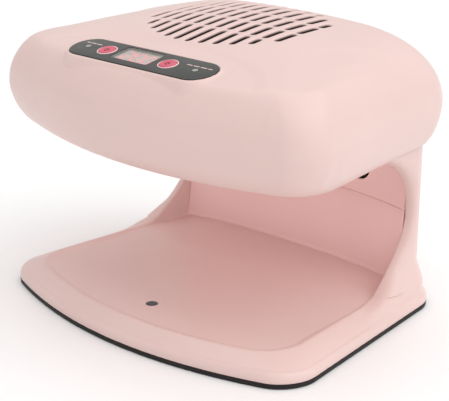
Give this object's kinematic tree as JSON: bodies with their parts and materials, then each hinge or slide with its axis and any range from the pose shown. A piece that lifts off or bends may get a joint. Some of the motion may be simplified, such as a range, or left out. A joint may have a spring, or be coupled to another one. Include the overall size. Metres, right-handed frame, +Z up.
{
  "type": "air nail dryer",
  "caption": "Tabletop fan nail dryer: domed slotted hood on a C-shaped column over an open hand tray, with a display, push buttons and a hand sensor.",
  "frame": {"origin": "centre of the bounding box footprint, on the table surface under the feet", "axes": "+Z up, -Y towards the user and the open front of the hand tray, +X to the user's right"},
  "size_m": [0.2784, 0.206, 0.1975],
  "materials": {
    "pink_gloss": "glossy moulded ABS, very light pink",
    "pink_satin": "satin moulded ABS, light pink",
    "black_abs": "black moulded ABS with a fine grain",
    "black_rubber": "soft black rubber",
    "panel_dark": "dark green-grey printed polycarbonate overlay",
    "button_pink": "rose-red moulded cap",
    "ring_pale": "pale pink trim",
    "display_clear": "clear grey window",
    "display_body": "pale grey diffusing face",
    "segment_glow": "lit light bars",
    "lamp_clear": "frosted light pipe",
    "board_green": "solder-masked circuit board",
    "steel": "bright plated steel",
    "fan_black": "glass-filled black nylon",
    "aluminium": "thin aluminium fin stock",
    "mica": "heat-resistant moulded holder",
    "sensor_dark": "infrared-passing dark lens",
    "wire_white": "sleeved wire bundle"
  },
  "bodies": {
    "housing": {"main_housing": "pink_gloss", "base_plate": "black_abs", "feet": "black_rubber", "lower_back_panel": "pink_satin", "upper_back_panel": "pink_satin", "outlet_louver": "black_abs", "top_cover": "pink_gloss", "hood_liner": "pink_satin", "control_panel": "panel_dark", "button_rings": "ring_pale", "display_window": "display_clear", "display_segments": "segment_glow", "display_module": "display_body", "tact_switches": "black_abs", "light_pipes": "lamp_clear", "control_board": "board_green", "fan_frame": "fan_black", "fan_motor": "steel", "heater_core": "aluminium", "heater_holders": "mica", "thermal_cutout": "aluminium", "sensor_lens": "sensor_dark", "sensor_board": "board_green", "power_inlet": "black_abs", "power_board": "board_green", "wiring_harness": "wire_white", "base_screws": "steel", "hood_screws": "steel", "fan_screws": "steel", "board_screws": "steel"},
    "impeller": {"impeller": "fan_black", "motor_shaft": "steel"},
    "left_button": {"left_button": "button_pink"},
    "right_button": {"right_button": "button_pink"}
  },
  "joints": [
    {"name": "impeller_spin", "type": "hinge", "parent": "housing", "child": "impeller", "pos_m": [0, 0.0185, 0.152], "axis": [0, 0, 1], "continuous": true},
    {"name": "left_button_press", "type": "slide", "parent": "housing", "child": "left_button", "axis": [0, 0.1752, -0.9845], "range_m": [0, 0.0006], "stiffness_N_per_m": 1500},
    {"name": "right_button_press", "type": "slide", "parent": "housing", "child": "right_button", "axis": [0, 0.1752, -0.9845], "range_m": [0, 0.0006], "stiffness_N_per_m": 1500}
  ]
}
